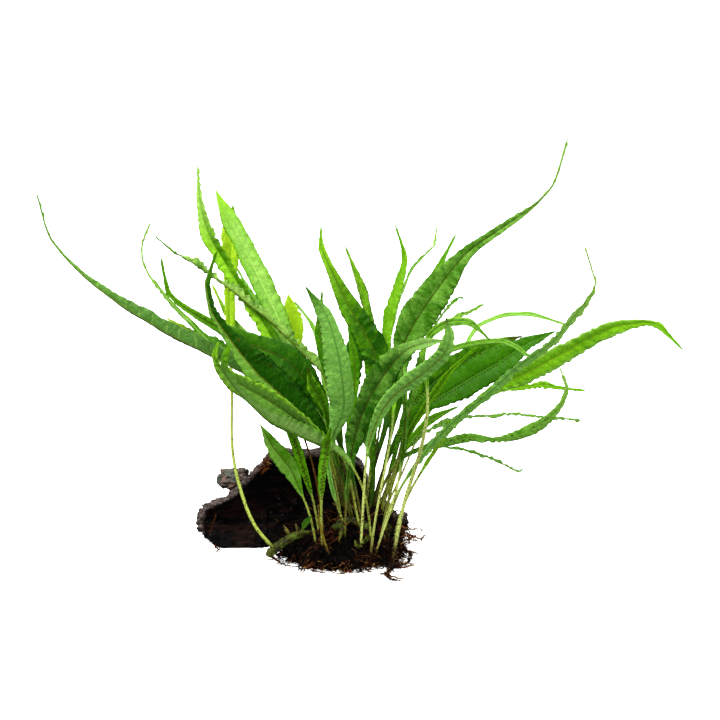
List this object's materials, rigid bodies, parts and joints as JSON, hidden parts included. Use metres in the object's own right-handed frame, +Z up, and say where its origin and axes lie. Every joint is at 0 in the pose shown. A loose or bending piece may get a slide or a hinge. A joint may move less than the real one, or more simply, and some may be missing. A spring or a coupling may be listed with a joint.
{
  "type": "aquarium fern on driftwood",
  "caption": "Java fern with long pointed fronds growing from creeping stems and a root mat on a small piece of dark driftwood.",
  "frame": {"origin": "middle of the root mat's flat underside, on the floor the plant and its wood stand on", "axes": "+Z up, +X to the right of the front view, along the fern's longest spread, -Y towards the viewer, wood at the back"},
  "size_m": [0.3043, 0.1759, 0.2125],
  "materials": {
    "bark": "rough",
    "roots": "rough",
    "stem": "satin",
    "leaf": "satin"
  },
  "bodies": {
    "root": {"driftwood_knob": "bark", "driftwood_log": "bark", "driftwood_spur": "bark", "frond_back_left": "leaf", "frond_back_right": "leaf", "frond_back_tall": "leaf", "frond_back_up": "leaf", "frond_front_pale": "leaf", "frond_leaflet": "leaf", "frond_left_bright": "leaf", "frond_left_crinkled": "leaf", "frond_left_dark": "leaf", "frond_left_hook": "leaf", "frond_left_long": "leaf", "frond_left_pale": "leaf", "frond_left_short": "leaf", "frond_left_spotted": "leaf", "frond_left_wavy": "leaf", "frond_low_banded": "leaf", "frond_low_left": "leaf", "frond_low_upright": "leaf", "frond_mid_broad": "leaf", "frond_mid_glossy": "leaf", "frond_mid_light": "leaf", "frond_mid_narrow": "leaf", "frond_mid_needle": "leaf", "frond_mid_shadow": "leaf", "frond_mid_small": "leaf", "frond_mid_spear": "leaf", "frond_mid_tall": "leaf", "frond_mid_thread": "leaf", "frond_mid_yellow": "leaf", "frond_right_arch": "leaf", "frond_right_behind": "leaf", "frond_right_bright": "leaf", "frond_right_crinkled": "leaf", "frond_right_dark": "leaf", "frond_right_dotted": "leaf", "frond_right_edge_on": "leaf", "frond_right_inner": "leaf", "frond_right_long_thread": "leaf", "frond_right_low": "leaf", "frond_right_low_thread": "leaf", "frond_right_short": "leaf", "frond_right_small_arch": "leaf", "frond_right_tall": "leaf", "frond_right_thin_arch": "leaf", "frond_right_wavy": "leaf", "frond_right_wiry": "leaf", "frond_up_broad": "leaf", "frond_up_curled": "leaf", "frond_up_dark": "leaf", "frond_up_yellow": "leaf", "frond_young_shoot": "leaf", "rhizome_front": "stem", "rhizome_left": "stem", "rhizome_right": "stem", "root_mat": "roots", "root_trail_front": "roots", "root_trail_right": "roots"}
  },
  "joints": []
}
